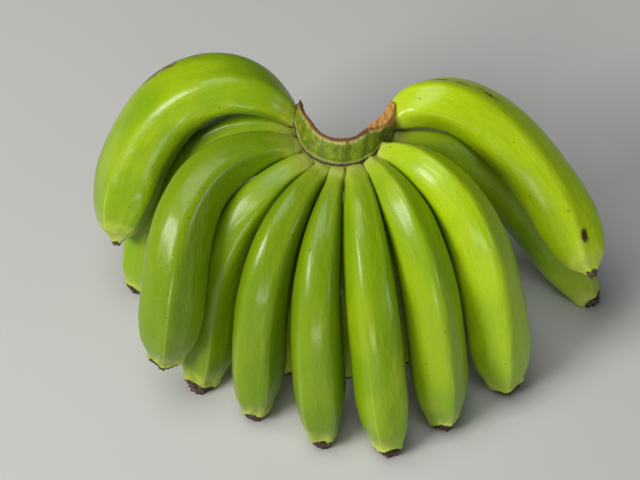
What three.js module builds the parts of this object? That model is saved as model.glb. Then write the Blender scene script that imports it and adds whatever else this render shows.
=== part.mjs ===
// A hand of green plantains: one crescent crown with two rows of fruits ("fingers") growing from it.
// It stands on its blossom ends with the crown uppermost. Millimetres, +Z up, the outer row bulging
// towards -Y. Azimuths are degrees round the upright axis of the crown: 0 points to -Y and positive
// turns towards +X.
import * as THREE from 'three';
import { mergeVertices } from 'three/addons/utils/BufferGeometryUtils.js';

// ---- Crown ----
const CROWN_RADIUS = 30; // from the crown's axis to the skin under the scar line
const LEFT_FLARE = 5; // how much further out that skin lies at the crown's left end
const RIGHT_FLARE = 9;
const STALK_GAP = 1; // from the skin to where the stalks begin
const CROWN_BOTTOM = 124;
const SCAR_HEIGHT = 157; // the brown line that the outer stalks grow under
const RIM_RISE = 14; // from the scar line up to the rim of the knife cut, at the crown's middle
const LEFT_RISE = 3; // the same at its left end
const RIGHT_RISE = 8;
const RIM_LEAN = 10.5; // how far the skin leans in from the scar line to the rim, at the crown's middle
const CUT_DEPTH = 12.5; // from the skin in to the upright wall that the knife left, at the crown's middle
const LEFT_DEPTH = 3; // the same at its left end
const RIGHT_DEPTH = 6;
const CROWN_LEFT_END = -128;
const CROWN_RIGHT_END = 118;
const CROWN_STATIONS = 26;
const CROWN_POINTS_ROUND = 18;

// ---- Fingers ----
const RIDGES = 5;
const RIDGE_DEPTH = 0.06; // share of the half width
const POINTS_ROUND = 15; // three to each ridge
const RINGS = 20;
const PRESS_GAP = 0.035; // how far short of its neighbour a pressed flank stops, in half widths
const OUTER_STALK = 151; // the heights at which the stalks leave the crown
const INNER_STALK = 134;
const END_STALK = 143; // the inner fingers at the crown's two ends

// Girth along a finger: share of its length from the crown, then share of its full half width.
// Stalk, swelling neck, full body, narrowing tip, and the dry blossom stub over the last part.
const GIRTH = [
  [0, 0.27],
  [0.07, 0.29],
  [0.16, 0.44],
  [0.3, 0.68],
  [0.45, 0.85],
  [0.62, 0.98],
  [0.76, 1],
  [0.86, 0.89],
  [0.93, 0.67],
  [0.968, 0.48],
  [0.985, 0.4],
  [1, 0.29],
];
const FULLEST = 0.76; // share of the length where the body is thickest

// Each finger grows from the crown at the azimuth foot and the height stalk, heading towards azimuth and
// lift degrees above level. It ends at tip, heading towards tipAzimuth and tipDrop degrees below level.
// launch and approach are how far it holds those two directions. half is half its width and half its
// depth, and shortness is under 1 for a finger that swells close to the crown. ridge is where one of its
// ridges runs, in degrees round its section with 90 on its upper side, and twist is how far the ridges
// turn along it.
const OUTER_ROW = [
  {
    foot: -116, azimuth: -112, stalk: OUTER_STALK, lift: 45.5, launch: 70.5,
    tip: [-156.5, -30, 68], tipAzimuth: -11, tipDrop: 46, approach: 111.5,
    half: [28.5, 22.5], shortness: 0.59, ridge: 112, twist: 0,
  },
  {
    foot: -67, azimuth: -86, stalk: OUTER_STALK, lift: 3, launch: 93.5,
    tip: [-120.1, -108, 38], tipAzimuth: -45, tipDrop: 76, approach: 108.5,
    half: [20.5, 24], shortness: 0.6, ridge: 105, twist: 0,
  },
  {
    foot: -43, azimuth: -67, stalk: OUTER_STALK, lift: -20, launch: 79,
    tip: [-98.1, -106, 0], tipAzimuth: -20, tipDrop: 55, approach: 77,
    half: [19, 23], shortness: 0.63, ridge: 105, twist: 0,
  },
  {
    foot: -23, azimuth: -39, stalk: OUTER_STALK, lift: -7, launch: 77,
    tip: [-58.6, -127, 0], tipAzimuth: -12, tipDrop: 70, approach: 77.5,
    half: [18, 23], shortness: 0.6, ridge: 122, twist: 0,
  },
  {
    foot: -4, azimuth: -15, stalk: OUTER_STALK, lift: -14.5, launch: 80.5,
    tip: [-11.6, -149, 0], tipAzimuth: 9, tipDrop: 68, approach: 88,
    half: [18, 22.5], shortness: 0.69, ridge: 127, twist: 0,
  },
  {
    foot: 18, azimuth: 7.5, stalk: OUTER_STALK, lift: -10, launch: 75.5,
    tip: [33.4, -156, 0], tipAzimuth: 18, tipDrop: 68, approach: 90.5,
    half: [18.3, 22.5], shortness: 0.55, ridge: 132, twist: 0,
  },
  {
    foot: 40, azimuth: 34.5, stalk: OUTER_STALK, lift: 3.5, launch: 71.5,
    tip: [71.9, -135, 0], tipAzimuth: 20, tipDrop: 70, approach: 87.5,
    half: [19, 23], shortness: 0.6, ridge: 88, twist: 0,
  },
  {
    foot: 63, azimuth: 57.5, stalk: OUTER_STALK, lift: 19, launch: 84.5,
    tip: [116.9, -105.5, 0], tipAzimuth: 38, tipDrop: 72, approach: 99,
    half: [21, 24.5], shortness: 0.63, ridge: 74, twist: -50,
  },
  {
    foot: 111, azimuth: 107.5, stalk: OUTER_STALK, lift: 44.5, launch: 69,
    tip: [176.9, -55, 70], tipAzimuth: 20, tipDrop: 14, approach: 77,
    half: [23, 21.5], shortness: 0.44, ridge: 76, twist: -55,
  },
];
const INNER_ROW = [
  {
    foot: -107, azimuth: -111.5, stalk: END_STALK, lift: -11, launch: 82.5,
    tip: [-145.1, -20.6, 0], tipAzimuth: -54, tipDrop: 73, approach: 87.5,
    half: [18, 21], shortness: 0.52, ridge: 100, twist: 0,
  },
  {
    foot: -62, azimuth: -83.5, stalk: INNER_STALK, lift: -34, launch: 42.5,
    tip: [-69.1, -41, 4], tipAzimuth: -54, tipDrop: 75, approach: 69.5,
    half: [17.5, 20], shortness: 0.7, ridge: 90, twist: 0,
  },
  {
    foot: -35, azimuth: -42, stalk: INNER_STALK, lift: -53, launch: 46.5,
    tip: [-38.1, -93, 2], tipAzimuth: -23, tipDrop: 68, approach: 70,
    half: [17, 18.5], shortness: 0.72, ridge: 90, twist: 0,
  },
  {
    foot: -9, azimuth: -5.5, stalk: INNER_STALK, lift: -49.5, launch: 47.5,
    tip: [4.9, -96, 4], tipAzimuth: 0, tipDrop: 72, approach: 67,
    half: [17, 19], shortness: 0.72, ridge: 90, twist: 0,
  },
  {
    foot: 18, azimuth: 29, stalk: INNER_STALK, lift: -40, launch: 51,
    tip: [49.9, -83, 3], tipAzimuth: 27, tipDrop: 72, approach: 65,
    half: [17.5, 19], shortness: 0.72, ridge: 90, twist: 0,
  },
  {
    foot: 45, azimuth: 61, stalk: INNER_STALK, lift: -33.5, launch: 50,
    tip: [93.9, -53, 4], tipAzimuth: 54, tipDrop: 75, approach: 66.5,
    half: [17.5, 20], shortness: 0.72, ridge: 90, twist: 0,
  },
  {
    foot: 98, azimuth: 102, stalk: END_STALK, lift: -19, launch: 62.5,
    tip: [182.9, -33, 0], tipAzimuth: 45, tipDrop: 43, approach: 88.5,
    half: [18.5, 21.5], shortness: 0.6, ridge: 75, twist: -40,
  },
];

const CENTRE_SAMPLES = 90;
const toRadians = THREE.MathUtils.degToRad;

// A level direction at an azimuth, tipped up by lift.
function heading(azimuth, lift = 0) {
  const a = toRadians(azimuth);
  const l = toRadians(lift);
  return new THREE.Vector3(Math.sin(a) * Math.cos(l), -Math.cos(a) * Math.cos(l), Math.sin(l));
}

// How far out the crown's skin lies at a share of the way from its left end to its right end.
function skinRadius(share) {
  const flare = share < 0.5 ? LEFT_FLARE : RIGHT_FLARE;
  return CROWN_RADIUS + flare * THREE.MathUtils.smoothstep(Math.abs(2 * share - 1), 0.6, 1);
}

function stalkRadius(azimuth) {
  const share = (azimuth - CROWN_LEFT_END) / (CROWN_RIGHT_END - CROWN_LEFT_END);
  return skinRadius(share) + STALK_GAP;
}

// The smooth curve through the girth stations that never overshoots them.
function girthAt(share, shortness) {
  const x = share < FULLEST ? FULLEST * (share / FULLEST) ** shortness : share;
  const last = GIRTH.length - 1;
  const rise = (i) => (GIRTH[i + 1][1] - GIRTH[i][1]) / (GIRTH[i + 1][0] - GIRTH[i][0]);
  const slope = (i) => {
    if (i === 0) return rise(0);
    if (i === last) return rise(last - 1);
    const product = rise(i - 1) * rise(i);
    return product > 0 ? (2 * product) / (rise(i - 1) + rise(i)) : 0;
  };
  let i = 0;
  while (i < last - 1 && x > GIRTH[i + 1][0]) i += 1;
  const span = GIRTH[i + 1][0] - GIRTH[i][0];
  const t = THREE.MathUtils.clamp((x - GIRTH[i][0]) / span, 0, 1);
  const a = GIRTH[i][1] * (2 * t ** 3 - 3 * t ** 2 + 1);
  const b = slope(i) * span * (t ** 3 - 2 * t ** 2 + t);
  const c = GIRTH[i + 1][1] * (3 * t ** 2 - 2 * t ** 3);
  const d = slope(i + 1) * span * (t ** 3 - t ** 2);
  return a + b + c + d;
}

// The curve down the middle of a finger, with the side and back directions of its section at any share
// of its length.
function fingerSpine(finger) {
  const start = heading(finger.foot).multiplyScalar(stalkRadius(finger.foot));
  start.z = finger.stalk;
  const end = new THREE.Vector3(...finger.tip);
  const leave = heading(finger.azimuth, finger.lift).multiplyScalar(finger.launch);
  const arrive = heading(finger.tipAzimuth, -finger.tipDrop).multiplyScalar(finger.approach);
  const curve = new THREE.CubicBezierCurve3(start, start.clone().add(leave), end.clone().sub(arrive), end);
  curve.arcLengthDivisions = 300;
  const level = end.clone().sub(start).setZ(0).normalize();
  const across = level.clone().cross(new THREE.Vector3(0, 0, 1));
  const at = (share) => {
    const centre = curve.getPointAt(share);
    const along = curve.getTangentAt(share);
    const back = across.clone().cross(along).normalize();
    const side = along.clone().cross(back);
    const girth = girthAt(share, finger.shortness);
    return { centre, along, side, back, halfWidth: girth * finger.half[0], halfDepth: girth * finger.half[1] };
  };
  const samples = [];
  for (let i = 0; i <= CENTRE_SAMPLES; i += 1) samples.push(at(i / CENTRE_SAMPLES));
  return { at, samples };
}

// How many half widths a point lies from a spine, measured at the nearest place on it.
function widthsFrom(spine, point) {
  let nearest = spine.samples[0];
  let least = Infinity;
  for (const sample of spine.samples) {
    const far = sample.centre.distanceToSquared(point);
    if (far < least) {
      least = far;
      nearest = sample;
    }
  }
  const offset = point.clone().sub(nearest.centre);
  const wide = offset.dot(nearest.side) / nearest.halfWidth;
  const deep = offset.dot(nearest.back) / nearest.halfDepth;
  const pastEnd = Math.max(Math.abs(offset.dot(nearest.along)) / nearest.halfWidth - 1, 0);
  return Math.hypot(wide, deep, pastEnd);
}

// Rings stand closer together towards the tip.
const ringShare = (v) => 1.28 * v - 0.28 * v ** 2.4;

// One finger as a closed tube. Where two fingers press together, both flanks stop at the surface that
// lies equally many half widths from either spine.
function fingerGeometry(finger, spine, others) {
  const tube = new THREE.CylinderGeometry(1, 1, 1, POINTS_ROUND, RINGS);
  tube.deleteAttribute('normal');
  tube.deleteAttribute('uv');
  const shape = mergeVertices(tube, 1e-5);
  const spots = shape.getAttribute('position');
  const place = new THREE.Vector3();
  for (let i = 0; i < spots.count; i += 1) {
    place.fromBufferAttribute(spots, i);
    const reach = Math.hypot(place.x, place.z);
    const round = Math.atan2(place.x, place.z);
    const share = THREE.MathUtils.clamp(ringShare(0.5 - place.y), 0, 1);
    const ring = spine.at(share);
    const angle = round + toRadians(finger.ridge + finger.twist * (share - 0.5));
    const ridged = reach * (1 + RIDGE_DEPTH * Math.cos(RIDGES * round));
    const out = ring.side.clone().multiplyScalar(Math.cos(angle) * ridged * ring.halfWidth);
    out.addScaledVector(ring.back, Math.sin(angle) * ridged * ring.halfDepth);
    const spot = (part) => {
      const at = ring.centre.clone().addScaledVector(out, part);
      if (share > 0) return at;
      // The foot of the stalk lies on the round of the crown.
      const azimuth = THREE.MathUtils.radToDeg(Math.atan2(at.x, -at.y));
      const stretch = stalkRadius(azimuth) / Math.hypot(at.x, at.y);
      return at.set(at.x * stretch, at.y * stretch, at.z);
    };
    let keep = 1;
    for (const other of others) {
      const clear = (part) => widthsFrom(other, spot(part)) - ridged * part > PRESS_GAP;
      if (reach > 0 && !clear(keep)) {
        let low = 0;
        let high = keep;
        for (let step = 0; step < 14; step += 1) {
          const middle = (low + high) / 2;
          if (clear(middle)) low = middle;
          else high = middle;
        }
        keep = low;
      }
    }
    place.copy(spot(keep));
    // A finger that the hand stands on ends in a small flat spot.
    if (share === 1 && ring.centre.z === 0) place.z = 0;
    place.z = Math.max(place.z, 0);
    spots.setXYZ(i, place.x, place.y, place.z);
  }
  return shape;
}

// The crown: a ring section of skin, rim and knife cut, carried round the axis and thinning out at both
// ends.
function crownGeometry() {
  const tube = new THREE.CylinderGeometry(1, 1, 1, CROWN_POINTS_ROUND, CROWN_STATIONS);
  tube.deleteAttribute('normal');
  tube.deleteAttribute('uv');
  const shape = mergeVertices(tube, 1e-5);
  const spots = shape.getAttribute('position');
  const place = new THREE.Vector3();
  const section = (share) => {
    const endness = Math.abs(2 * share - 1);
    const skin = skinRadius(share);
    const endRise = share < 0.5 ? LEFT_RISE : RIGHT_RISE;
    const endDepth = share < 0.5 ? LEFT_DEPTH : RIGHT_DEPTH;
    const rim = SCAR_HEIGHT + THREE.MathUtils.lerp(RIM_RISE, endRise, endness ** 4);
    const rimRadius = skin - RIM_LEAN * (1 - endness ** 5);
    const wall = skin - THREE.MathUtils.lerp(CUT_DEPTH, endDepth, endness ** 5);
    const keys = [
      [skin - 2.5, CROWN_BOTTOM + 1.5],
      [skin, CROWN_BOTTOM + 6],
      [skin, CROWN_BOTTOM + 20],
      [skin, SCAR_HEIGHT - 1],
      [(skin + rimRadius) / 2 + 0.6, (SCAR_HEIGHT + rim) / 2],
      [rimRadius, rim],
      [wall + 0.5, rim - 1.5],
      [wall - 0.5, SCAR_HEIGHT - 8],
      [wall - 1, CROWN_BOTTOM + 12],
      [wall, CROWN_BOTTOM + 2.5],
      [(wall + skin) / 2, CROWN_BOTTOM],
    ];
    const loop = keys.map(([r, z]) => new THREE.Vector3(r, z, 0));
    const curve = new THREE.CatmullRomCurve3(loop, true, 'centripetal');
    const middle = new THREE.Vector3((wall + skin) / 2, (CROWN_BOTTOM + SCAR_HEIGHT) / 2, 0);
    const thin = 1 - 0.2 * THREE.MathUtils.smoothstep(endness, 0.93, 1);
    return { curve, middle, thin, skin };
  };
  for (let i = 0; i < spots.count; i += 1) {
    place.fromBufferAttribute(spots, i);
    const reach = Math.hypot(place.x, place.z);
    const turn = THREE.MathUtils.euclideanModulo(Math.atan2(place.x, place.z) / (2 * Math.PI), 1);
    const share = 0.5 - place.y;
    const { curve, middle, thin, skin } = section(share);
    const spot = middle.clone();
    if (reach > 0.5) spot.lerp(curve.getPointAt(turn), thin);
    const azimuth = THREE.MathUtils.lerp(CROWN_LEFT_END, CROWN_RIGHT_END, share);
    const out = heading(azimuth).multiplyScalar(Math.min(spot.x, skin));
    spots.setXYZ(i, out.x, out.y, spot.y);
  }
  return shape;
}

// Turns a shape's faces outwards if they point in.
function facingOut(shape) {
  const spots = shape.getAttribute('position');
  const index = shape.getIndex();
  const corner = (k) => new THREE.Vector3().fromBufferAttribute(spots, index.getX(k));
  let volume = 0;
  for (let k = 0; k < index.count; k += 3) volume += corner(k).dot(corner(k + 1).cross(corner(k + 2)));
  if (volume < 0) {
    for (let k = 0; k < index.count; k += 3) {
      const swap = index.getX(k + 1);
      index.setX(k + 1, index.getX(k + 2));
      index.setX(k + 2, swap);
    }
  }
  shape.computeVertexNormals();
  return shape;
}

function namedMesh(name, shape, colour, roughness) {
  const skin = new THREE.MeshStandardMaterial({ color: colour, roughness, metalness: 0 });
  const mesh = new THREE.Mesh(facingOut(shape), skin);
  mesh.name = name;
  return mesh;
}

const hand = new THREE.Group();
hand.name = 'plantain_hand';
hand.add(namedMesh('crown', crownGeometry(), 0x76882f, 0.7));

const rows = [
  { row: 'outer', fingers: OUTER_ROW, colour: 0x86b31c },
  { row: 'inner', fingers: INNER_ROW, colour: 0x7fa81f },
];
const grown = [];
for (const { row, fingers, colour } of rows) {
  fingers.forEach((finger, i) => {
    const spine = fingerSpine(finger);
    grown.push({ name: `finger_${row}_${i + 1}`, finger, colour, spine });
  });
}
for (const { name, finger, colour, spine } of grown) {
  const others = grown.filter((other) => other.spine !== spine).map((other) => other.spine);
  hand.add(namedMesh(name, fingerGeometry(finger, spine, others), colour, 0.42));
}

// The middle of the hand's footprint stands over the origin.
const box = new THREE.Box3().setFromObject(hand);
const middle = box.getCenter(new THREE.Vector3());
for (const mesh of hand.children) mesh.geometry.translate(-middle.x, -middle.y, -box.min.z);

export default hand;
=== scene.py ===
"""A hand of green plantains: ridged fruits in two rows on a crescent crown, on its blossom ends.

The rows of sizes are in millimetres round the crown's own upright axis. They follow the part's
source, with a few necks fuller and a few ridges turned further to meet the photograph.
Azimuths are degrees round that axis: 0 points to -Y and positive turns towards +X.
"""

import math

import bpy
import numpy as np
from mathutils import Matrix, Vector


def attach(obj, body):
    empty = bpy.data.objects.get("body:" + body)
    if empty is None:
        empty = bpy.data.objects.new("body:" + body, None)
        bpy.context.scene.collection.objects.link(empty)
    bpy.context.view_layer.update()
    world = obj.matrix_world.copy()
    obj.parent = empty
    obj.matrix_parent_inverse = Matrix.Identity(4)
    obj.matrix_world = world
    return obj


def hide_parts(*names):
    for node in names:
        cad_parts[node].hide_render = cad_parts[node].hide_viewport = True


MM = 0.001
SEED = 11

# ---- Crown ----
AXIS = (-7.532, 55.598, 0)  # where the crown's upright axis stands in the part's frame
ORIGIN = np.array(AXIS) * MM
CROWN_RADIUS = 30
LEFT_FLARE = 5
RIGHT_FLARE = 9
STALK_GAP = 1
CROWN_BOTTOM = 124
SCAR_HEIGHT = 157
RIM_RISE = 14
LEFT_RISE = 7
RIGHT_RISE = 11
RIM_LEAN = 10.5
CUT_DEPTH = 12.5
LEFT_DEPTH = 3
RIGHT_DEPTH = 3.5
CROWN_LEFT_END = -128
CROWN_RIGHT_END = 118
END_THINNING = 0.2  # how much of its thickness the crown loses at its two ends
LENS_START = 58  # the azimuths between which the cut shows as a broad pale face
LENS_END = 119
LENS_WIDTH = 6
CROWN_STATIONS = 240
CROWN_POINTS_ROUND = 200
CURVE_STEPS = 24
RIM_KEY = 5  # which of the section's points is the rim
CUT_EDGE = (-1.9, -0.9)  # over which depths past the rim the skin gives way to the cut
CUT_EDGE_SLOPE = 0.35
CUT_SIDE_START = 0.25  # share of the way round the section before which there is only skin

# ---- Relief of the crown, in mm ----
CROWN_SEED = SEED + 50
SCAR_WIDTH = 1.15
SCAR_EXTRA_WIDTH = 1.6  # the scar line broadens at its left end
SCAR_BROADENS = (-112, -124)  # azimuths
SCAR_LEFT_RISE = 4.5  # and it turns up at both ends
SCAR_LEFT_TURN = (-100, -114)
SCAR_RIGHT_RISE = 5
SCAR_RIGHT_TURN = (84, 104)
SCAR_FADES = (98, 108)
BEAD_HEIGHT = 0.9  # the scar is a raised bead with a groove over it
BEAD_WAVE = 5
GROOVE_DEPTH = 0.45
GROOVE_ABOVE = 2.2
GROOVE_WIDTH = 0.9
LIP_HEIGHT = 0.5  # the ragged lip along the rim
LIP_WIDTH = 0.9
LIP_WAVE = 4
RIM_GLOW = 3.0  # how far the pale border reaches from the rim
LUMP_HEIGHT = 0.28
LUMP_WAVE = 9
GRIT_HEIGHT = 0.1
GRIT_WAVE = 3
FIBRE_HEIGHT = 0.3
FIBRE_WAVE = 2.2
FIBRE_TURN = 0.06  # mm of fibre pattern per degree, so the fibres run lengthwise

# ---- Fingers ----
RIDGES = 5
COLUMNS = 80
RINGS = 150
STUB_RINGS = 50  # how many of the rings lie over the tip and the blossom stub
RING_CROWDING = 0.03
PRESS_GAP = 0.035  # how many half widths pressed flanks stay apart
PRESS_STEPS = 14
OUTER_STALK = 151
INNER_STALK = 134
END_STALK = 143
FULLEST = 0.76
GIRTH = [
    (0, 0.27), (0.07, 0.29), (0.16, 0.44), (0.3, 0.68), (0.45, 0.85), (0.62, 0.98),
    (0.76, 1), (0.86, 0.89), (0.93, 0.67), (0.968, 0.48), (0.985, 0.4), (1, 0.29),
]
STUB_START = 0.973  # share of the length where the skin ends and the dry blossom stub begins
TIP_LEAD = 0.032  # how much sooner the closer rings begin
WIDENING_LEAD = 0.035  # how much sooner the tip begins to widen towards the stub
FOOT_DEPTH = 4  # how far a stalk's foot is sunk into the crown
STALK_SHARPNESS = 9  # the higher the sharpness, the crisper the ridges
BODY_SOFTENING = 3.2
TIP_SHARPENING = 5
WORN = 0.5  # how far the other ridges are worn towards a plain round
RIDGED_REACH = 0.945  # these keep a ridged and a worn section as wide as the girth says
WORN_REACH = 0.972
FOOT_SPREAD = 0.45  # how much wider a stalk is where it joins the crown
FOOT_SPREAD_END = 0.06
STUB_SPREAD = 0.2
STUB_SHOWS = 0.02  # how much sooner the skin ends on the upper side, where the dry end shows
POINTED_SHOWS = 0.003
POINTED_START = 0.94  # where a pointed tip begins to close, and how far it does
POINTED_CLOSING = 0.55
EDGE_SCALLOP = 0.003  # the skin's edge over the stub, as shares of the length
EDGE_RAGGED = 0.0025
EDGE_WIDTH = 0.004
EDGE_WAVE = 5  # wavelengths are in mm
EDGE_SWELL = 0.03
STUB_DRAWN_IN = 0.1
STUB_COARSE = 0.11
STUB_COARSE_WAVE = 3.4
STUB_FINE = 0.05
STUB_FINE_WAVE = 1.5
END_ROUGHNESS = 0.9
END_WAVE = 4
SKIN_WAVES = 0.012
SKIN_WAVE = 34
SKIN_SHIFT = 300  # mm that one finger's skin pattern lies from the next one's
CENTRE_SAMPLES = 240
SPINE_SAMPLES = 601
WAVES_AN_OCTAVE = 6
# The middle level of each finger's overall tone, which is partly its own greenness and partly painted
# light, with neither deep nor bright green mixed in.
PLAIN_TONE_AND_PAINTED_LIGHT = 0.45

# The last entry of an outer finger sets its tone as a whole: partly its own greenness, partly painted
# light and shade that brighten or darken the whole finger.
OUTER_ROW = [
    dict(foot=-116, azimuth=-112, stalk=OUTER_STALK, lift=45.5, launch=70.5, tip=(-156.5, -30, 68),
         tip_azimuth=-11, tip_drop=46, approach=111.5, half=(28.5, 22.5),
         shortness=0.59, ridge=112, twist=0, stub=0.988, pointed=1, tone_and_painted_light=0.25),
    dict(foot=-67, azimuth=-86, stalk=OUTER_STALK, lift=3, launch=93.5, tip=(-120.1, -108, 38),
         tip_azimuth=-45, tip_drop=76, approach=108.5, half=(21, 24),
         shortness=0.5, ridge=128, twist=0, tone_and_painted_light=0),
    dict(foot=-43, azimuth=-67, stalk=OUTER_STALK, lift=-20, launch=79, tip=(-98.1, -106, 0),
         tip_azimuth=-20, tip_drop=55, approach=77, half=(20, 23),
         shortness=0.49, ridge=134, twist=0, tone_and_painted_light=0.1),
    dict(foot=-23, azimuth=-39, stalk=OUTER_STALK, lift=-7, launch=77, tip=(-58.6, -127, 0),
         tip_azimuth=-12, tip_drop=70, approach=77.5, half=(18, 23),
         shortness=0.6, ridge=140, twist=0, tone_and_painted_light=0),
    dict(foot=-4, azimuth=-15, stalk=OUTER_STALK, lift=-14.5, launch=80.5, tip=(-11.6, -149, 0),
         tip_azimuth=9, tip_drop=68, approach=88, half=(18, 22.5),
         shortness=0.69, ridge=127, twist=0, tone_and_painted_light=0.05),
    dict(foot=18, azimuth=7.5, stalk=OUTER_STALK, lift=-10, launch=75.5, tip=(33.4, -156, 0),
         tip_azimuth=18, tip_drop=68, approach=90.5, half=(18.6, 22.5),
         shortness=0.53, ridge=132, twist=0, tone_and_painted_light=0.2),
    dict(foot=40, azimuth=34.5, stalk=OUTER_STALK, lift=3.5, launch=71.5, tip=(71.9, -135, 0),
         tip_azimuth=20, tip_drop=70, approach=87.5, half=(19.8, 23),
         shortness=0.55, ridge=88, twist=0, tone_and_painted_light=0.26),
    dict(foot=63, azimuth=57.5, stalk=OUTER_STALK, lift=19, launch=84.5, tip=(116.9, -105.5, 0),
         tip_azimuth=38, tip_drop=72, approach=99, half=(21, 24.5),
         shortness=0.6, ridge=74, twist=-50, tone_and_painted_light=0.68),
    dict(foot=111, azimuth=107.5, stalk=OUTER_STALK, lift=44.5, launch=69, tip=(175, -58, 69),
         tip_azimuth=20, tip_drop=14, approach=77, half=(23, 21.5),
         shortness=0.44, ridge=76, twist=-55, stub=0.986, pointed=1, tone_and_painted_light=1.0),
]
INNER_ROW = [
    dict(foot=-107, azimuth=-111.5, stalk=END_STALK, lift=-11, launch=82.5, tip=(-145.1, -20.6, 0),
         tip_azimuth=-54, tip_drop=73, approach=87.5, half=(18, 21),
         shortness=0.52, ridge=100, twist=0),
    dict(foot=-62, azimuth=-83.5, stalk=INNER_STALK, lift=-34, launch=42.5, tip=(-69.1, -41, 4),
         tip_azimuth=-54, tip_drop=75, approach=69.5, half=(17.5, 20),
         shortness=0.7, ridge=90, twist=0),
    dict(foot=-35, azimuth=-42, stalk=INNER_STALK, lift=-53, launch=46.5, tip=(-38.1, -93, 2),
         tip_azimuth=-23, tip_drop=68, approach=70, half=(17, 18.5),
         shortness=0.72, ridge=90, twist=0),
    dict(foot=-9, azimuth=-5.5, stalk=INNER_STALK, lift=-49.5, launch=47.5, tip=(4.9, -96, 4),
         tip_azimuth=0, tip_drop=72, approach=67, half=(17, 19),
         shortness=0.72, ridge=90, twist=0),
    dict(foot=18, azimuth=29, stalk=INNER_STALK, lift=-40, launch=51, tip=(49.9, -83, 3),
         tip_azimuth=27, tip_drop=72, approach=65, half=(17.5, 19),
         shortness=0.72, ridge=90, twist=0),
    dict(foot=45, azimuth=61, stalk=INNER_STALK, lift=-33.5, launch=50, tip=(93.9, -53, 4),
         tip_azimuth=54, tip_drop=75, approach=66.5, half=(17.5, 20),
         shortness=0.72, ridge=90, twist=0),
    dict(foot=98, azimuth=102, stalk=END_STALK, lift=-19, launch=62.5, tip=(182.9, -33, 0),
         tip_azimuth=45, tip_drop=43, approach=88.5, half=(18.5, 21.5),
         shortness=0.6, ridge=75, twist=-40, stub=0.988),
]

# ---- Marks on the skin ----
# Each row: finger, kind, share of its length, degrees from its first ridge, mm along, mm round.
MARK_KINDS = ("bruise", "rust", "wound")
MARKS = [
    ("outer_1", "rust", 0.40, 293, 20, 5),
    ("outer_2", "bruise", 0.40, 0, 20, 7),
    ("outer_2", "bruise", 0.62, 350, 16, 5),
    ("outer_4", "bruise", 0.20, 20, 14, 8),
    ("outer_9", "rust", 0.23, 26, 20, 2.6),
    ("outer_9", "wound", 0.862, 13, 6, 3),
]

# ---- Colours ----
LEAF_GREEN = (0.25, 0.42, 0.003)
YELLOW_GREEN = (0.36, 0.52, 0.004)
# Deep and bright green make whole fingers darker or brighter: partly their own tone, partly painted
# shade and painted light.
DEEP_GREEN = (0.12, 0.215, 0.001)
BRIGHT_GREEN = (0.47, 0.66, 0.004)
DARK_GREEN = (0.15, 0.27, 0.003)
PALE_GREEN = (0.52, 0.60, 0.06)
TIP_GREEN = (0.58, 0.64, 0.10)
RIDGE_GREEN = (0.55, 0.64, 0.12)
SPECK_BROWN = (0.035, 0.04, 0.008)
RUST_BROWN = (0.16, 0.09, 0.03)
WOUND_BROWN = (0.06, 0.035, 0.012)
STUB_DARK = (0.018, 0.012, 0.007)
STUB_BROWN = (0.10, 0.055, 0.03)
STUB_FLECK = (0.50, 0.38, 0.31)
CROWN_OLIVE = (0.10, 0.145, 0.003)
CROWN_GREEN = (0.17, 0.24, 0.004)
CROWN_PALE = (0.32, 0.38, 0.07)
CROWN_LATEX = (0.33, 0.37, 0.20)
CROWN_CREAM = (0.50, 0.48, 0.15)
SCAR_BROWN = (0.07, 0.05, 0.025)
CUT_DARK = (0.15, 0.065, 0.024)
CUT_BROWN = (0.34, 0.13, 0.035)
CUT_ORANGE = (0.72, 0.38, 0.09)
FLOOR_GREY = (0.56, 0.56, 0.545)
SKY_BLUE = (0.9, 0.95, 1)

# ---- Patterns: how often each repeats in a mm, across, across and along the finger ----
PATCHES = (0.035, 0.035, 0.022)
STREAKS = (0.5, 0.5, 0.035)
MOTTLE = (0.8, 0.8, 0.5)
FROSTING = (0.12, 0.12, 0.06)
SPECKS = (0.13, 0.13, 0.1)
BRUISING = (0.7, 0.7, 0.25)
SCUFFING = (0.3, 0.3, 0.14)
CRUST = (0.9, 0.9, 0.9)
FLECKS = (1.7, 1.7, 1.7)
GLOSS = (0.25, 0.25, 0.08)
WAX = (0.22, 0.22, 0.1)
# And on the crown: round, outwards and up.
BLOTCHES = (0.16, 0.16, 0.16)
SPECKLES = (1.1, 1.1, 1.1)
LATEX = (0.2, 0.3, 0.3)
GRAIN = (0.12, 0.9, 0.3)

# ---- Gloss ----
SKIN_ROUGHNESS = (0.3, 0.44)
SKIN_SPECULAR = 0.22
WAX_WEIGHT = 0.28
WAX_ROUGHNESS = 0.17
CROWN_ROUGHNESS = (0.5, 0.75)
CROWN_SPECULAR = 0.25
FLOOR_ROUGHNESS = 0.8

# ---- View ----
CAMERA_TARGET = (-13.9, -28, 70)  # from the crown's axis
CAMERA_PITCH = 54  # degrees down from level
CAMERA_DISTANCE = 1340
CAMERA_LENS = 107.7
CAMERA_SENSOR = 36
CAMERA_REACH = 20  # metres
FLOOR_HALF = 6.0  # metres
SKY_STRENGTH = 0.05

# Each row: lamp, azimuth, elevation, metres away, metres wide and high, watts, colour.
LAMPS = [
    ("key", -58, 35, 2.6, (1.0, 0.8), 50, (1, 0.98, 0.92)),
    ("top", -80, 76, 1.6, (1.0, 1.0), 12.5, (0.98, 0.98, 1)),
    ("front", -2, 9, 1.8, (0.6, 0.25), 4.6, (1, 1, 0.95)),
    ("glint", 56, 18, 1.6, (0.3, 0.3), 2.4, (0.78, 0.9, 1)),
]


# ---------------------------------------------------------------- small maths

def unit(vectors):
    return vectors / np.linalg.norm(vectors, axis=-1, keepdims=True)


def smoothstep(low, high, x):
    t = np.clip((x - low) / (high - low), 0, 1)
    return t * t * (3 - 2 * t)


def bell(x):
    return np.exp(-(x ** 2))


def wrapped(turn):
    """The same angle between -pi and pi."""
    return np.angle(np.exp(1j * turn))


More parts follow.
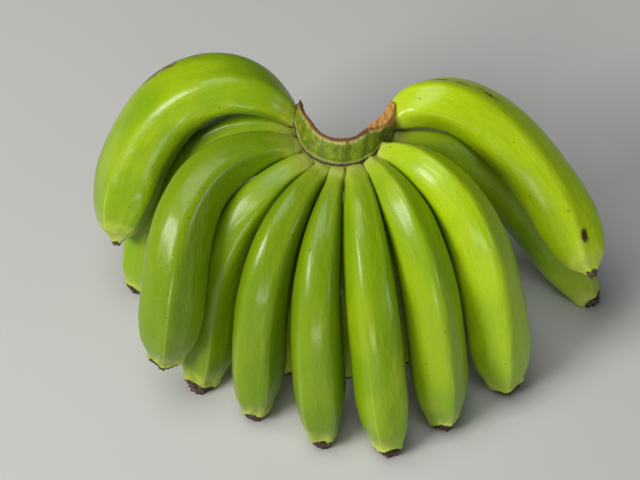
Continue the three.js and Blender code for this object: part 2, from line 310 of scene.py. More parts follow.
def heading(azimuth, lift=0.0):
    """A level direction at an azimuth, tipped up by lift."""
    a, l = math.radians(azimuth), math.radians(lift)
    return np.array([math.sin(a) * math.cos(l), -math.cos(a) * math.cos(l), math.sin(l)])


def travelled_along(points):
    """How far along a row of points each one lies."""
    steps = np.linalg.norm(np.diff(points, axis=0), axis=1)
    return np.concatenate([[0], np.cumsum(steps)])


def skin_radius(share):
    """How far out the crown's skin lies at a share of the way from its left end to its right end."""
    flare = np.where(share < 0.5, LEFT_FLARE, RIGHT_FLARE)
    return CROWN_RADIUS + flare * smoothstep(0.6, 1, np.abs(2 * share - 1))


def stalk_radius(azimuth):
    return skin_radius((azimuth - CROWN_LEFT_END) / (CROWN_RIGHT_END - CROWN_LEFT_END)) + STALK_GAP


def waves(points, wavelength, seed, octaves=2):
    """Smooth noise between about -1 and 1: a sum of plane waves in random directions."""
    rng = np.random.default_rng(seed)
    total = np.zeros(points.shape[:-1])
    weight = 0.0
    for octave in range(octaves):
        strength = 0.5 ** octave
        for _ in range(WAVES_AN_OCTAVE):
            direction = unit(rng.normal(size=3))
            phase = rng.uniform(0, 2 * math.pi)
            scale = rng.uniform(0.7, 1.4) * 2 * math.pi * 2 ** octave / wavelength
            total += strength * np.sin(points @ direction * scale + phase)
        weight += strength * WAVES_AN_OCTAVE ** 0.5
    return total / weight


# ---------------------------------------------------------------- fingers

def girth_at(share, shortness):
    """The smooth curve through the girth stations that never overshoots them."""
    stations = np.array(GIRTH, float)
    xs, ys = stations[:, 0], stations[:, 1]
    rises = np.diff(ys) / np.diff(xs)
    slopes = np.empty(len(xs))
    slopes[0], slopes[-1] = rises[0], rises[-1]
    before, after = rises[:-1], rises[1:]
    same = before * after > 0
    slopes[1:-1] = np.where(same, 2 * before * after / np.where(same, before + after, 1), 0)
    share = np.clip(share, 0, 1)
    x = np.where(share < FULLEST, FULLEST * (share / FULLEST) ** shortness, share)
    i = np.clip(np.searchsorted(xs, x, side="right") - 1, 0, len(xs) - 2)
    span = xs[i + 1] - xs[i]
    t = (x - xs[i]) / span
    a = ys[i] * (2 * t ** 3 - 3 * t ** 2 + 1)
    b = slopes[i] * span * (t ** 3 - 2 * t ** 2 + t)
    c = ys[i + 1] * (3 * t ** 2 - 2 * t ** 3)
    d = slopes[i + 1] * span * (t ** 3 - t ** 2)
    return a + b + c + d


class Spine:
    """The curve down the middle of a finger, with its section's directions and half sizes."""

    def __init__(self, finger):
        self.finger = finger
        start = heading(finger["foot"]) * stalk_radius(finger["foot"])
        start[2] = finger["stalk"]
        end = np.array(finger["tip"], float)
        leave = heading(finger["azimuth"], finger["lift"]) * finger["launch"]
        arrive = heading(finger["tip_azimuth"], -finger["tip_drop"]) * finger["approach"]
        self.corners = np.array([start, start + leave, end - arrive, end])
        level = unit((end - start) * [1, 1, 0])
        self.across = np.cross(level, [0, 0, 1])
        t = np.linspace(0, 1, SPINE_SAMPLES)
        travelled = travelled_along(self.point(t))
        self.length = travelled[-1]
        self.times = (travelled / self.length, t)
        self.samples = self.at(np.linspace(0, 1, CENTRE_SAMPLES + 1))

    def point(self, t):
        t = np.asarray(t)[..., None]
        a, b, c, d = self.corners
        return (1 - t) ** 3 * a + 3 * (1 - t) ** 2 * t * b + 3 * (1 - t) * t ** 2 * c + t ** 3 * d

    def direction(self, t):
        t = np.asarray(t)[..., None]
        a, b, c, d = self.corners
        return unit((1 - t) ** 2 * (b - a) + 2 * (1 - t) * t * (c - b) + t ** 2 * (d - c))

    def at(self, share):
        """centre, along, side, back, half width and half depth at each share of the length."""
        t = np.interp(share, *self.times)
        along = self.direction(t)
        back = unit(np.cross(self.across, along))
        side = np.cross(along, back)
        girth = girth_at(share, self.finger["shortness"])
        half = self.finger["half"]
        return self.point(t), along, side, back, girth * half[0], girth * half[1]

    def widths_from(self, points):
        """How many half widths each point lies from the nearest place on this spine."""
        centres, alongs = self.samples[:2]
        squares = (points ** 2).sum(1)[:, None] - 2 * points @ centres.T + (centres ** 2).sum(1)[None]
        nearest = squares.argmin(1)
        ahead = ((points - centres[nearest]) * alongs[nearest]).sum(1)
        share = np.clip(nearest / CENTRE_SAMPLES + ahead / self.length, 0, 1)
        centre, along, side, back, wide, deep = self.at(share)
        offset = points - centre
        sideways = (offset * side).sum(1) / wide
        backways = (offset * back).sum(1) / deep
        past = np.maximum(np.abs((offset * along).sum(1)) / wide - 1, 0)
        return np.sqrt(sideways ** 2 + backways ** 2 + past ** 2)


def ridged_reach(turn, share):
    """How far a five-ridged section reaches at each angle, with sharper ridges near the tip."""
    sharpness = STALK_SHARPNESS - BODY_SOFTENING * smoothstep(0.08, 0.35, share)
    sharpness = sharpness + TIP_SHARPENING * smoothstep(0.6, 0.95, share)
    total = np.zeros(np.broadcast(turn, share).shape)
    for k in range(RIDGES):
        face = turn - math.radians((k + 0.5) * 360 / RIDGES)
        total += np.maximum(np.cos(face), 0) ** sharpness
    reach = RIDGED_REACH * total ** (-1 / sharpness)
    # The first ridge is crisp and the others are worn softer.
    worn = WORN * smoothstep(0.3, 0.7, np.abs(wrapped(turn)))
    return reach * (1 - worn) + WORN_REACH * worn


def ring_shares():
    """Rings stand closer together at the foot and over the blossom stub."""
    body = np.linspace(0, STUB_START - TIP_LEAD, RINGS - STUB_RINGS)
    body = body - RING_CROWDING * np.sin(body / body[-1] * 2 * math.pi) / (2 * math.pi)
    stub = np.linspace(STUB_START - TIP_LEAD, 1, STUB_RINGS + 1)[1:]
    return np.concatenate([body, stub])


def marks_on(name, turn, share, spine, wide):
    """Soft oval fields where a finger is bruised, rusty or wounded."""
    fields = {kind: np.zeros(len(turn)) for kind in MARK_KINDS}
    for finger, kind, at, degrees, long, broad in MARKS:
        if name.endswith(finger):
            ahead = (share - at) * spine.length / long
            aside = wrapped(turn - math.radians(degrees)) * wide / broad
            oval = smoothstep(1.15, 0.75, np.hypot(ahead, aside))
            fields[kind] = np.maximum(fields[kind], oval)
    return fields


def skin_reach(finger, turn, angle, share, straight, seed):
    """The section's reach with the skin's waves, its scalloped edge and the ragged stub under it.

    Gives the reach and how far each point belongs to the stub.
    """
    reach = ridged_reach(turn, share)
    wavy = SKIN_WAVES * waves(straight * [1, 1, 0.6], SKIN_WAVE, seed)
    reach = reach * (1 + wavy * smoothstep(0.05, 0.2, share))
    # The two fingers that arch out at the ends close to a small point.
    pointed = finger.get("pointed", 0)
    reach = reach * (1 - POINTED_CLOSING * pointed * smoothstep(POINTED_START, 1, share))
    shows = POINTED_SHOWS if pointed else STUB_SHOWS
    edge = finger.get("stub", STUB_START) - shows * np.sin(angle)
    edge = edge + EDGE_SCALLOP * np.cos(RIDGES * turn)
    edge = edge + EDGE_RAGGED * waves(straight * [1.6, 1.6, 0], EDGE_WAVE, seed + 5)
    stub = smoothstep(0, 0.003, share - edge)
    ragged = STUB_COARSE * waves(straight, STUB_COARSE_WAVE, seed + 1, 3)
    ragged = ragged + STUB_FINE * waves(straight, STUB_FINE_WAVE, seed + 2, 2)
    swell = EDGE_SWELL * bell((share - edge) / EDGE_WIDTH)
    return reach * (1 + swell - stub * (STUB_DRAWN_IN - ragged)), stub


def kept_shares(centre, out, reach, others):
    """The share of its way out that each point keeps, so that it stops where a neighbour begins."""

    def clear(other, part, which):
        spots = centre[which] + out[which] * part[:, None]
        return other.widths_from(spots) - reach[which] * part > PRESS_GAP

    keep = np.ones(len(out))
    every = np.arange(len(out))
    for other in others:
        pressed = every[~clear(other, keep, every)]
        if len(pressed) == 0:
            continue
        low, high = np.zeros(len(pressed)), keep[pressed].copy()
        for _ in range(PRESS_STEPS):
            middle = (low + high) / 2
            good = clear(other, middle, pressed)
            low = np.where(good, middle, low)
            high = np.where(good, high, middle)
        keep[pressed] = low
    return keep


def softened(grid):
    """A grid of shares with its corners smoothed, never above what it was."""
    soft = grid.copy()
    for _ in range(3):
        soft = (np.roll(soft, 1, 1) + np.roll(soft, -1, 1) + 2 * soft) / 4
        padded = np.pad(soft, ((1, 1), (0, 0)), mode="edge")
        soft = (padded[:-2] + padded[2:] + 2 * soft) / 4
    return np.minimum(grid, soft)


def sink_foot(spots, foot):
    """Bring the first ring to one depth under the crown's skin."""
    level = np.hypot(spots[foot, 0], spots[foot, 1])
    azimuth = np.degrees(np.arctan2(spots[foot, 0], -spots[foot, 1]))
    spots[foot, :2] *= ((stalk_radius(azimuth) - FOOT_DEPTH) / level)[:, None]


def finger_mesh(name, spine, others, seed):
    """One finger as a closed tube, from its foot in the crown to its dry stub."""
    finger = spine.finger
    shares = ring_shares()
    count = np.arange(COLUMNS) / COLUMNS * 2 * math.pi
    turns = count - 0.5 * np.sin(RIDGES * count) / RIDGES
    share_grid, turn_grid = np.meshgrid(shares, turns, indexing="ij")
    share, turn = share_grid.ravel(), turn_grid.ravel()
    centre, along, side, back, wide, deep = spine.at(share)
    angle = turn + np.radians(finger["ridge"] + finger["twist"] * (share - 0.5))
    straight = np.stack([np.cos(turn) * wide, np.sin(turn) * deep, share * spine.length], 1)
    reach, stub = skin_reach(finger, turn, angle, share, straight, seed)

    # Stalks spread sideways into the crown, and the dry end is a little wider than the skin over it.
    spread = 1 + FOOT_SPREAD * smoothstep(FOOT_SPREAD_END, 0, share)
    blunt = 1 - finger.get("pointed", 0)
    widened = STUB_SPREAD * blunt * smoothstep(STUB_START - WIDENING_LEAD, STUB_START, share)
    out = side * (np.cos(angle) * reach * wide * (spread + widened))[:, None]
    out = out + back * (np.sin(angle) * reach * deep * (1 + widened))[:, None]
    keep = softened(kept_shares(centre, out, reach, others).reshape(share_grid.shape)).ravel()
    spots = centre + out * keep[:, None]

    sink_foot(spots, share == 0)
    end = share == 1
    rough_end = END_ROUGHNESS * waves(straight[end], END_WAVE, seed + 3, 3)
    spots[end] += along[end] * rough_end[:, None]
    if finger["tip"][2] == 0:
        spots[end, 2] = 0
    spots[:, 2] = np.maximum(spots[:, 2], 0)

    fields = {
        "share": share,
        "ridge": np.cos(RIDGES * turn),
        "stub": stub,
        # Each finger's tone as a whole, partly its own greenness and partly painted light and shade.
        "tone_and_painted_light": np.full(len(turn), finger.get("tone_and_painted_light", PLAIN_TONE_AND_PAINTED_LIGHT)),
        **marks_on(name, turn, share, spine, wide),
        "skin": straight + [0, 0, SKIN_SHIFT * seed],
    }
    return tube_object(name, spots, len(shares), COLUMNS, fields)


# ---------------------------------------------------------------- meshes

def tube_object(name, spots, rings, columns, fields):
    """A closed mesh from rings of points, both ends closed with a fan."""
    first, last = spots[:columns].mean(0), spots[-columns:].mean(0)
    points = np.concatenate([spots, [first, last]]) * MM + ORIGIN
    column = np.arange(columns)
    following = (column + 1) % columns
    ring = np.arange(rings - 1)[:, None] * columns
    here, there = ring + column[None], ring + following[None]
    quads = np.stack([here, there, there + columns, here + columns], -1).reshape(-1, 4)
    start_fan = np.stack([following, column, np.full(columns, len(spots))], 1)
    base = (rings - 1) * columns
    end_fan = np.stack([base + column, base + following, np.full(columns, len(spots) + 1)], 1)
    faces = quads.tolist() + start_fan.tolist() + end_fan.tolist()
    mesh = bpy.data.meshes.new(name)
    mesh.from_pydata(points.tolist(), [], faces)
    for key, values in fields.items():
        values = np.asarray(values, float)
        ends = np.stack([values[:columns].mean(0), values[-columns:].mean(0)])
        values = np.concatenate([values, ends])
        kind, slot = ("FLOAT_VECTOR", "vector") if values.ndim == 2 else ("FLOAT", "value")
        layer = mesh.attributes.new(key, kind, "POINT")
        layer.data.foreach_set(slot, values.ravel())
    mesh.polygons.foreach_set("use_smooth", [True] * len(mesh.polygons))
    mesh.update()
    if signed_volume(mesh) < 0:
        mesh.flip_normals()
    return linked(name, mesh)


def linked(name, data):
    """A new object that holds some data, linked into the scene."""
    thing = bpy.data.objects.new(name, data)
    bpy.context.scene.collection.objects.link(thing)
    return thing


def signed_volume(mesh):
    mesh.calc_loop_triangles()
    corners = np.empty(len(mesh.loop_triangles) * 3, np.int32)
    mesh.loop_triangles.foreach_get("vertices", corners)
    spots = np.empty(len(mesh.vertices) * 3)
    mesh.vertices.foreach_get("co", spots)
    a, b, c = spots.reshape(-1, 3)[corners.reshape(-1, 3)].transpose(1, 0, 2)
    return (a * np.cross(b, c)).sum()


# ---------------------------------------------------------------- crown

def loop_points(keys, turns):
    """Points on a closed centripetal Catmull-Rom curve through keys, evenly spaced along it."""
    count = len(keys)
    dense = []
    for i in range(count):
        p0, p1, p2, p3 = (keys[(i + k) % count] for k in (-1, 0, 1, 2))
        knots = [0.0]
        for a, b in ((p0, p1), (p1, p2), (p2, p3)):
            knots.append(knots[-1] + np.linalg.norm(b - a) ** 0.5)
        t = np.linspace(knots[1], knots[2], CURVE_STEPS, endpoint=False)[:, None]
        t0, t1, t2, t3 = knots
        a1 = (t1 - t) / (t1 - t0) * p0 + (t - t0) / (t1 - t0) * p1
        a2 = (t2 - t) / (t2 - t1) * p1 + (t - t1) / (t2 - t1) * p2
        a3 = (t3 - t) / (t3 - t2) * p2 + (t - t2) / (t3 - t2) * p3
        b1 = (t2 - t) / (t2 - t0) * a1 + (t - t0) / (t2 - t0) * a2
        b2 = (t3 - t) / (t3 - t1) * a2 + (t - t1) / (t3 - t1) * a3
        dense.append((t2 - t) / (t2 - t1) * b1 + (t - t1) / (t2 - t1) * b2)
    dense = np.concatenate(dense + [dense[0][:1]])
    travelled = travelled_along(dense)
    place = np.asarray(turns) * travelled[-1]
    return np.stack([np.interp(place, travelled, dense[:, k]) for k in (0, 1)], 1)


def crown_section(share, azimuth):
    """The crown's section at one station, the middle it thins towards, and how far it does."""
    endness = abs(2 * share - 1)
    skin = float(skin_radius(share))
    left = share < 0.5
    rim = SCAR_HEIGHT + RIM_RISE + ((LEFT_RISE if left else RIGHT_RISE) - RIM_RISE) * endness ** 4
    rim_radius = skin - RIM_LEAN * (1 - endness ** 5)
    wall = skin - CUT_DEPTH - ((LEFT_DEPTH if left else RIGHT_DEPTH) - CUT_DEPTH) * endness ** 5
    # At the right end the knife took a lens of skin off as well.
    lens_share = min(max((azimuth - LENS_START) / (LENS_END - LENS_START), 0), 1)
    lens = LENS_WIDTH * math.sin(math.pi * lens_share)
    rim_radius = min(rim_radius + lens, skin)
    top = rim - 1.5
    rim = rim - 0.5 * lens
    # Up the skin to the rim, then down the cut wall and back under the crown.
    keys = np.array([
        (skin - 2.5, CROWN_BOTTOM + 1.5),
        (skin, CROWN_BOTTOM + 6),
        (skin, CROWN_BOTTOM + 20),
        (skin, SCAR_HEIGHT - 1),
        ((skin + rim_radius) / 2 + 0.6, (SCAR_HEIGHT + rim) / 2),
        (rim_radius, rim),
        (wall + 0.5, top),
        (wall - 0.5, SCAR_HEIGHT - 8),
        (wall - 1, CROWN_BOTTOM + 12),
        (wall, CROWN_BOTTOM + 2.5),
        ((wall + skin) / 2, CROWN_BOTTOM),
    ], float)
    middle = np.array([(wall + skin) / 2, SCAR_HEIGHT])
    return keys, middle, 1 - END_THINNING * smoothstep(0.93, 1, endness)


def round_the_axis(radius, azimuth, height):
    a = np.radians(azimuth)
    return np.stack([np.sin(a) * radius, -np.cos(a) * radius, height], 1)


def crown_ring(share, azimuth, turns):
    """One station of the crown with its relief.

    Gives its radii and heights, and how far each point belongs to the cut, the rim and the scar.
    """
    keys, middle, thin = crown_section(share, azimuth)
    loop = loop_points(keys, turns)
    tangent = unit(np.roll(loop, -1, 0) - np.roll(loop, 1, 0))
    normal = np.stack([tangent[:, 1], -tangent[:, 0]], 1)
    outside = smoothstep(-0.3, 0.3, normal[:, 0])
    radius, height = loop.T
    rim = keys[RIM_KEY]
    # How far each point lies past the rim, over the face that the knife left.
    over = (rim[0] - radius) + CUT_EDGE_SLOPE * (rim[1] - height) * (radius < rim[0])
    cut = np.where(turns > CUT_SIDE_START, smoothstep(*CUT_EDGE, over), 0)
    from_rim = np.hypot(*(loop - rim).T)
    # The scar line turns up at both ends and broadens at the left one.
    right_rise = SCAR_RIGHT_RISE * smoothstep(*SCAR_RIGHT_TURN, azimuth)
    left_rise = SCAR_LEFT_RISE * smoothstep(*SCAR_LEFT_TURN, azimuth)
    scar_height = SCAR_HEIGHT + right_rise + left_rise
    scar_width = SCAR_WIDTH + SCAR_EXTRA_WIDTH * smoothstep(*SCAR_BROADENS, azimuth)
    scar_fade = 1 - smoothstep(*SCAR_FADES, azimuth)
    scar = bell((height - scar_height) / scar_width) * outside * scar_fade

    ring = round_the_axis(radius, azimuth, height)
    lump = LUMP_HEIGHT * waves(ring, LUMP_WAVE, CROWN_SEED, 1)
    lump = lump + GRIT_HEIGHT * waves(ring, GRIT_WAVE, CROWN_SEED + 1, 1)
    lump = lump * outside * (1 - cut)
    fibres = np.stack([radius, 0.5 * height, np.full(len(loop), FIBRE_TURN * azimuth)], 1)
    fibre = FIBRE_HEIGHT * waves(fibres, FIBRE_WAVE, CROWN_SEED + 2, 2) * cut
    bead = BEAD_HEIGHT * scar * (1 + 0.35 * waves(ring, BEAD_WAVE, CROWN_SEED + 3, 1))
    groove = -GROOVE_DEPTH * bell((height - scar_height - GROOVE_ABOVE) / GROOVE_WIDTH)
    groove = groove * outside * scar_fade
    lip = LIP_HEIGHT * bell(from_rim / LIP_WIDTH)
    lip = lip * (1 + 0.6 * waves(ring, LIP_WAVE, CROWN_SEED + 4, 2))
    loop = loop + normal * (lump + fibre + bead + groove + lip)[:, None]
    loop = middle + (loop - middle) * thin
    return loop[:, 0], loop[:, 1], cut, bell(from_rim / RIM_GLOW), scar


def crown_mesh(name):
    shares = np.linspace(0, 1, CROWN_STATIONS)
    turns = np.arange(CROWN_POINTS_ROUND) / CROWN_POINTS_ROUND
    azimuths = CROWN_LEFT_END + (CROWN_RIGHT_END - CROWN_LEFT_END) * shares
    rings = [crown_ring(share, azimuth, turns) for share, azimuth in zip(shares, azimuths)]
    radius, height, cut, rim, scar = (np.concatenate(part) for part in zip(*rings))
    azimuth = np.repeat(azimuths, CROWN_POINTS_ROUND)
    fields = {
        "skin": np.stack([np.radians(azimuth) * 30, radius, height], 1),
        "azimuth": azimuth,
        "height": height,
        "cut": cut,
        "rim": rim,
        "scar": scar,
    }
    spots = round_the_axis(radius, azimuth, height)
    return tube_object(name, spots, CROWN_STATIONS, CROWN_POINTS_ROUND, fields)


# ---------------------------------------------------------------- materials

class Graph:
    """A material's node tree, with short names for the nodes that the skins are made from."""

    def __init__(self, name):
        self.material = bpy.data.materials.new(name)
        self.material.use_nodes = True
        self.nodes = self.material.node_tree.nodes
        self.shader = self.nodes["Principled BSDF"]

    def put(self, socket, value):
        if isinstance(value, bpy.types.NodeSocket):
            self.material.node_tree.links.new(value, socket)
        else:
            socket.default_value = value

    def field(self, name, vector=False):
        node = self.nodes.new("ShaderNodeAttribute")
        node.attribute_name = name
        return node.outputs["Vector" if vector else "Fac"]

    def scaled(self, vector, scale):
        node = self.nodes.new("ShaderNodeVectorMath")
        node.operation = "MULTIPLY"
        self.put(node.inputs[0], vector)
        self.put(node.inputs[1], scale)
        return node.outputs[0]

    def noise(self, vector, scale, detail=2.0, distortion=0.0):
        node = self.nodes.new("ShaderNodeTexNoise")
        self.put(node.inputs["Vector"], self.scaled(vector, scale))
        node.inputs["Scale"].default_value = 1.0
        node.inputs["Detail"].default_value = detail
        node.inputs["Distortion"].default_value = distortion
        return node.outputs["Fac"]

    def cells(self, vector, scale):
        """How far each place is from the middle of its cell, and a random number for the cell."""
        node = self.nodes.new("ShaderNodeTexVoronoi")
        self.put(node.inputs["Vector"], self.scaled(vector, scale))
        node.inputs["Scale"].default_value = 1.0
        return node.outputs["Distance"], node.outputs["Color"]

    def ramp(self, value, low, high, start=0.0, end=1.0):
        node = self.nodes.new("ShaderNodeMapRange")
        node.interpolation_type = "SMOOTHSTEP"
        self.put(node.inputs["Value"], value)
        for socket, number in zip(("From Min", "From Max", "To Min", "To Max"), (low, high, start, end)):
            node.inputs[socket].default_value = number
        return node.outputs["Result"]

    def maths(self, operation, a, b):
        node = self.nodes.new("ShaderNodeMath")
        node.operation = operation
        self.put(node.inputs[0], a)
        self.put(node.inputs[1], b)
        return node.outputs[0]

    def times(self, *values):
        total = values[0]
        for value in values[1:]:
            total = self.maths("MULTIPLY", total, value)
        return total

    def mix(self, factor, a, b):
        node = self.nodes.new("ShaderNodeMix")
        node.data_type = "RGBA"
        self.put(node.inputs[0], factor)
        self.put(node.inputs[6], a if isinstance(a, bpy.types.NodeSocket) else (*a, 1))
        self.put(node.inputs[7], b if isinstance(b, bpy.types.NodeSocket) else (*b, 1))
        return node.outputs[2]

    def bump(self, height, distance, under=None):
        node = self.nodes.new("ShaderNodeBump")
        node.inputs["Distance"].default_value = distance
        self.put(node.inputs["Height"], height)
        if under is not None:
            self.put(node.inputs["Normal"], under)
        return node.outputs["Normal"]


def green_skin():
    g = Graph("green_skin")
    skin = g.field("skin", vector=True)
    share, ridge, stub, tone_and_painted_light = (g.field(name) for name in ("share", "ridge", "stub", "tone_and_painted_light"))

    # Broad patches, then each finger's tone as a whole, partly its own greenness and partly painted
    # light and shade that make some fingers brighter and others darker, then fine streaks and mottling.
    patches = g.noise(skin, PATCHES)
    colour = g.mix(g.ramp(patches, 0.38, 0.62), LEAF_GREEN, YELLOW_GREEN)
    colour = g.mix(g.ramp(tone_and_painted_light, PLAIN_TONE_AND_PAINTED_LIGHT, 0, 0, 0.75), colour, DEEP_GREEN)
    colour = g.mix(g.ramp(tone_and_painted_light, PLAIN_TONE_AND_PAINTED_LIGHT, 1, 0, 0.8), colour, BRIGHT_GREEN)
    streaks = g.noise(skin, STREAKS, 3.0)
    colour = g.mix(g.ramp(streaks, 0.45, 0.8, 0, 0.22), colour, DARK_GREEN)
    mottle = g.noise(skin, MOTTLE, 3.0)
    colour = g.mix(g.ramp(mottle, 0.55, 0.8, 0, 0.25), colour, DARK_GREEN)
    colour = g.mix(g.ramp(mottle, 0.42, 0.2, 0, 0.2), colour, PALE_GREEN)

    # Paler at the tip, the stalk and its foot, and along the ridges.
    frosting = g.noise(skin, FROSTING, 4.0, 0.5)
    frost = g.times(g.ramp(share, 0.88, 0.975), g.ramp(frosting, 0.4, 0.62, 0.25, 0.9))
    colour = g.mix(frost, colour, TIP_GREEN)
    colour = g.mix(g.ramp(share, 0.13, 0.02, 0, 0.35), colour, PALE_GREEN)
    colour = g.mix(g.ramp(share, 0.035, 0.022, 0, 0.3), colour, CROWN_CREAM)
    line = g.times(g.ramp(ridge, 0.97, 0.999), g.ramp(share, 0.5, 0.95, 0.02, 0.3))
    colour = g.mix(line, colour, RIDGE_GREEN)

    # Specks lie at random, and the marks lie where the fields put them.
    near, kind = g.cells(skin, SPECKS)
    speck = g.times(g.ramp(near, 0.095, 0.05), g.ramp(kind, 0.56, 0.6), g.ramp(share, 0.95, 0.85))
    colour = g.mix(g.times(speck, 0.75), colour, SPECK_BROWN)
    near, kind = g.cells(skin, BRUISING)
    bruise = g.times(g.ramp(near, 0.25, 0.12), g.ramp(kind, 0.55, 0.62), g.field("bruise"))
    colour = g.mix(bruise, colour, SPECK_BROWN)
    scuff = g.noise(skin, SCUFFING, 5.0, 1.0)
    rust = g.times(g.ramp(scuff, 0.42, 0.56), g.field("rust"))
    colour = g.mix(rust, colour, RUST_BROWN)
    colour = g.mix(g.field("wound"), colour, WOUND_BROWN)

    crust = g.noise(skin, CRUST, 4.0)
    dry = g.mix(g.ramp(crust, 0.4, 0.62), STUB_DARK, STUB_BROWN)
    flecks = g.noise(skin, FLECKS, 2.0)
    dry = g.mix(g.ramp(flecks, 0.56, 0.66, 0, 0.7), dry, STUB_FLECK)
    g.put(g.shader.inputs["Base Color"], g.mix(stub, colour, dry))

    rough = g.ramp(g.noise(skin, GLOSS, 3.0), 0.3, 0.7, *SKIN_ROUGHNESS)
    rough = g.maths("ADD", rough, g.times(frost, 0.16))
    rough = g.maths("ADD", rough, g.maths("ADD", g.times(stub, 0.5), g.times(rust, 0.3)))
    g.put(g.shader.inputs["Roughness"], rough)
    g.shader.inputs["Specular IOR Level"].default_value = SKIN_SPECULAR
    g.shader.inputs["Coat Weight"].default_value = WAX_WEIGHT
    g.shader.inputs["Coat Roughness"].default_value = WAX_ROUGHNESS
    waxy = g.bump(g.noise(skin, WAX, 2.0), 0.6 * MM)
    g.put(g.shader.inputs["Normal"], g.bump(mottle, 0.12 * MM, waxy))
    return g.material


def crown_skin():
    g = Graph("crown_skin")
    skin = g.field("skin", vector=True)
    cut, rim, scar = (g.field(name) for name in ("cut", "rim", "scar"))
    height, azimuth = g.field("height"), g.field("azimuth")

    blotch = g.noise(skin, BLOTCHES, 3.0)
    colour = g.mix(g.ramp(blotch, 0.38, 0.62), CROWN_OLIVE, CROWN_GREEN)
    speckle = g.noise(skin, SPECKLES, 3.0)
    colour = g.mix(g.ramp(speckle, 0.54, 0.72, 0, 0.4), colour, CROWN_PALE)
    latex = g.noise(skin, LATEX, 4.0, 0.6)
    colour = g.mix(g.ramp(latex, 0.62, 0.7, 0, 0.3), colour, CROWN_LATEX)

    # A cream band under the scar line, and a broken cream border under the rim.
    above = g.ramp(height, SCAR_HEIGHT - 9, SCAR_HEIGHT - 3)
    below = g.ramp(height, SCAR_HEIGHT + 2.4, SCAR_HEIGHT - 0.5)
    colour = g.mix(g.times(above, below, 0.7), colour, CROWN_CREAM)
    colour = g.mix(g.ramp(scar, 0.25, 0.8), colour, SCAR_BROWN)
    broken = g.times(g.ramp(rim, 0.05, 0.5), g.ramp(latex, 0.36, 0.52))
    border = g.times(broken, g.ramp(azimuth, -70, 20, 0.5, 0.9))
    colour = g.mix(border, colour, CROWN_CREAM)

    # The cut is brown at the back and a fresher orange near the rim at the right end.
    grain = g.noise(skin, GRAIN, 4.0, 0.4)
    brown = g.mix(g.ramp(grain, 0.35, 0.65), CUT_DARK, CUT_BROWN)
    orange = g.mix(g.ramp(grain, 0.42, 0.66, 0, 0.75), CUT_ORANGE, CUT_BROWN)
    high = g.ramp(height, SCAR_HEIGHT - 20, SCAR_HEIGHT - 2, 0.25, 1)
    fresh = g.times(g.ramp(azimuth, 36, 84), high)
    colour = g.mix(cut, colour, g.mix(fresh, brown, orange))
    edge = g.times(g.ramp(rim, 0.7, 0.97), g.ramp(grain, 0.3, 0.6, 0.5, 1))
    colour = g.mix(g.times(edge, g.ramp(azimuth, 85, 45, 0.35, 1)), colour, CUT_DARK)
    g.put(g.shader.inputs["Base Color"], colour)

    rough = g.ramp(g.maths("ADD", cut, scar), 0, 1, *CROWN_ROUGHNESS)
    g.put(g.shader.inputs["Roughness"], rough)
    g.shader.inputs["Specular IOR Level"].default_value = CROWN_SPECULAR
    g.put(g.shader.inputs["Normal"], g.bump(speckle, 0.1 * MM, g.bump(blotch, 0.4 * MM)))
    return g.material


def floor_material():
    g = Graph("floor")
    g.shader.inputs["Base Color"].default_value = (*FLOOR_GREY, 1)
    g.shader.inputs["Roughness"].default_value = FLOOR_ROUGHNESS
    return g.material


# ---------------------------------------------------------------- stage

def make_floor():
    mesh = bpy.data.meshes.new("floor")
    corners = [(FLOOR_HALF * x, FLOOR_HALF * y, 0) for x, y in ((-1, -1), (1, -1), (1, 1), (-1, 1))]
    mesh.from_pydata(corners, [], [(0, 1, 2, 3)])
    mesh.materials.append(floor_material())
    linked("floor", mesh)


def aim(thing, place, target):
    thing.location = place
    thing.rotation_euler = (Vector(target) - Vector(place)).to_track_quat("-Z", "Y").to_euler()


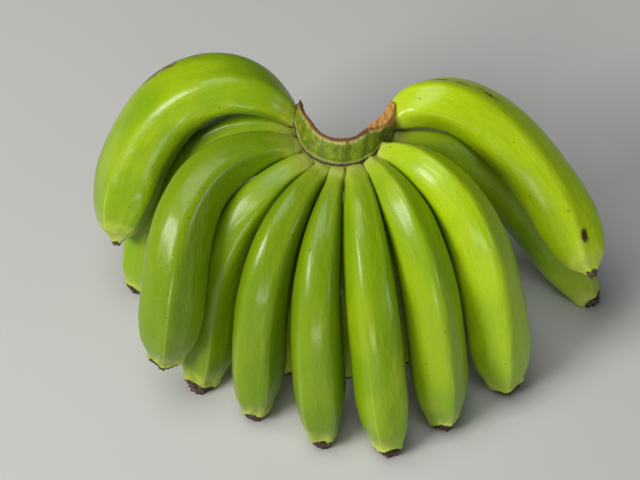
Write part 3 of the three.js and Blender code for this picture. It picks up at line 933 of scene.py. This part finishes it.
def make_camera(target):
    camera = bpy.data.cameras.new("camera")
    camera.sensor_width = CAMERA_SENSOR
    camera.lens = CAMERA_LENS
    camera.clip_end = CAMERA_REACH
    eye = linked("camera", camera)
    aim(eye, target + heading(0, CAMERA_PITCH) * CAMERA_DISTANCE * MM, target)
    bpy.context.scene.camera = eye


def make_lights(target):
    """A faint sky and rectangular lamps, each aimed at the hand from an azimuth and an elevation."""
    world = bpy.data.worlds.new("world")
    world.use_nodes = True
    sky = world.node_tree.nodes["Background"]
    sky.inputs["Color"].default_value = (*SKY_BLUE, 1)
    sky.inputs["Strength"].default_value = SKY_STRENGTH
    bpy.context.scene.world = world
    for name, azimuth, elevation, away, size, watts, colour in LAMPS:
        light = bpy.data.lights.new(name, "AREA")
        light.shape = "RECTANGLE"
        light.size, light.size_y = size
        light.energy = watts
        light.color = colour
        aim(linked(name, light), target + heading(azimuth, elevation) * away, target)


# ---------------------------------------------------------------- assembly

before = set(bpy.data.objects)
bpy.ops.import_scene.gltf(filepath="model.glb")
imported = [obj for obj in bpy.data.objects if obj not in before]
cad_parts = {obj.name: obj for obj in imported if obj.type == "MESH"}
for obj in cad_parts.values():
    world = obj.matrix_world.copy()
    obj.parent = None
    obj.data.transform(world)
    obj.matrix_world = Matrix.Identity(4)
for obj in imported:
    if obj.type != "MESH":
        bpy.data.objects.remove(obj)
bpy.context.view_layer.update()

spines = {}
for row, fingers in (("outer", OUTER_ROW), ("inner", INNER_ROW)):
    for number, finger in enumerate(fingers, 1):
        spines[f"finger_{row}_{number}"] = Spine(finger)

finger_skin = green_skin()
for index, (node, spine) in enumerate(spines.items()):
    others = [other for other in spines.values() if other is not spine]
    piece = finger_mesh("skin_" + node, spine, others, SEED + index)
    piece.data.materials.append(finger_skin)
    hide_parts(node)
    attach(piece, "root")

crown = crown_mesh("skin_crown")
crown.data.materials.append(crown_skin())
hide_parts("crown")
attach(crown, "root")

middle_of_view = ORIGIN + np.array(CAMERA_TARGET) * MM
make_floor()
make_lights(middle_of_view)
make_camera(middle_of_view)
bpy.context.scene.view_settings.view_transform = "Standard"
